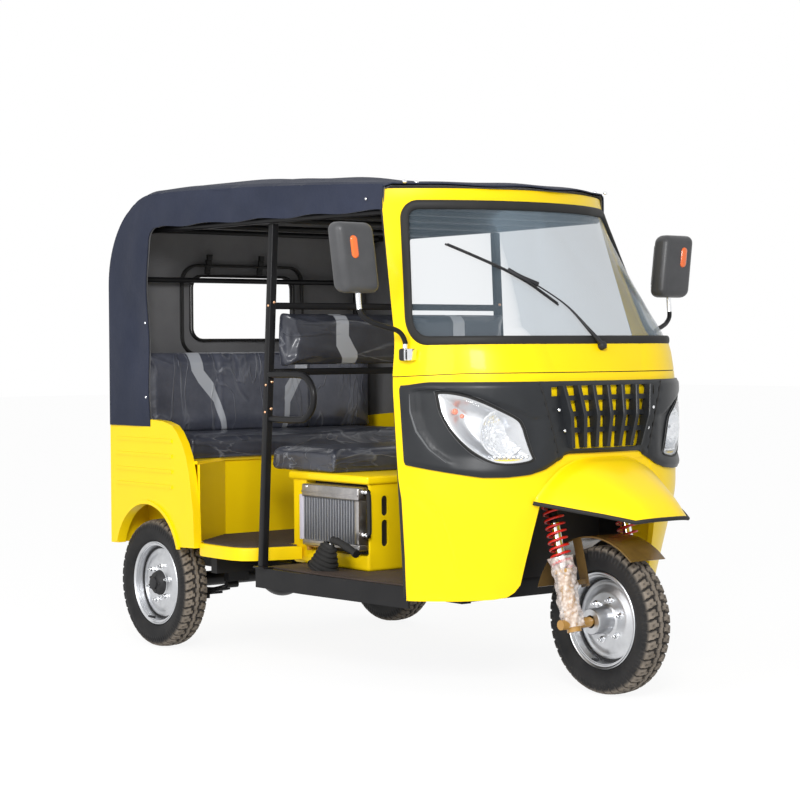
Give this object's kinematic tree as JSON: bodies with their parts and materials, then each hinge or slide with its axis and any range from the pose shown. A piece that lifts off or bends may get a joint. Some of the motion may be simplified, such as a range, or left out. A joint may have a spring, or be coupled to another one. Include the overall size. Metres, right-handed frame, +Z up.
{
  "type": "auto rickshaw",
  "caption": "Three-wheeled passenger auto rickshaw with a rounded cab, fabric roof, rear bench, steered front fork and solid rear axle.",
  "frame": {"origin": "on the ground under the middle of the bounding box", "axes": "+X forward, +Y to the vehicle's left, +Z up"},
  "size_m": [2.536, 1.67, 1.863],
  "materials": {
    "yellow_paint": "gloss",
    "black_paint": "satin",
    "black_plastic": "satin",
    "grey_plastic": "satin",
    "lamp_chrome": "polished",
    "clear_lens": "clear",
    "screen_glass": "clear",
    "roof_cloth": "woven",
    "seat_vinyl": "grained vinyl",
    "radiator_alloy": "fins",
    "engine_metal": "cast",
    "red_lens": "moulded lens",
    "exhaust_steel": "heat-dulled",
    "gold_leg": "anodised",
    "red_spring": "gloss",
    "rim_silver": "satin",
    "tyre_rubber": "moulded"
  },
  "bodies": {
    "chassis": {"chassis_frame": "black_paint", "driver_floor": "black_paint", "passenger_floor": "yellow_paint", "front_fairing": "yellow_paint", "wheel_well": "black_plastic", "headlamp_mask": "black_plastic", "grille": "black_plastic", "headlamp_bowls": "lamp_chrome", "headlamp_lenses": "clear_lens", "front_beak": "yellow_paint", "screen_frame": "yellow_paint", "windscreen": "screen_glass", "wiper": "black_plastic", "mirror_arms": "black_paint", "mirror_heads": "grey_plastic", "roof_fabric": "roof_cloth", "side_curtains": "roof_cloth", "roof_tubes": "black_paint", "partition_frame": "black_paint", "grab_handles": "black_paint", "driver_backrest": "seat_vinyl", "driver_seat": "seat_vinyl", "seat_box": "yellow_paint", "radiator": "radiator_alloy", "engine": "engine_metal", "bench_seat": "seat_vinyl", "bench_backrest": "seat_vinyl", "bench_base": "yellow_paint", "quarter_panels": "yellow_paint", "rear_panel": "yellow_paint", "tail_lamps": "red_lens", "rear_axle": "black_paint", "leaf_springs": "black_paint", "exhaust": "exhaust_steel"},
    "steering": {"fork_crown": "black_paint", "fork_legs": "gold_leg", "fork_springs": "red_spring", "front_mudguard": "black_plastic", "handlebar": "black_plastic"},
    "front_wheel": {"front_tyre": "tyre_rubber", "front_rim": "rim_silver"},
    "rear_wheel_right": {"rear_tyre_right": "tyre_rubber", "rear_rim_right": "rim_silver"},
    "rear_wheel_left": {"rear_tyre_left": "tyre_rubber", "rear_rim_left": "rim_silver"}
  },
  "joints": [
    {"name": "steering", "type": "hinge", "parent": "chassis", "child": "steering", "pos_m": [0.78979, 0, 0.83969], "axis": [-0.2588, 0, 0.9659], "range_deg": [-35, 35]},
    {"name": "front_wheel_spin", "type": "hinge", "parent": "steering", "child": "front_wheel", "pos_m": [0.984, 0, 0.254], "axis": [0, 1, 0], "continuous": true},
    {"name": "rear_wheel_right_spin", "type": "hinge", "parent": "chassis", "child": "rear_wheel_right", "pos_m": [-0.968, -0.575, 0.254], "axis": [0, 1, 0], "continuous": true},
    {"name": "rear_wheel_left_spin", "type": "hinge", "parent": "chassis", "child": "rear_wheel_left", "pos_m": [-0.968, 0.575, 0.254], "axis": [0, 1, 0], "continuous": true}
  ]
}
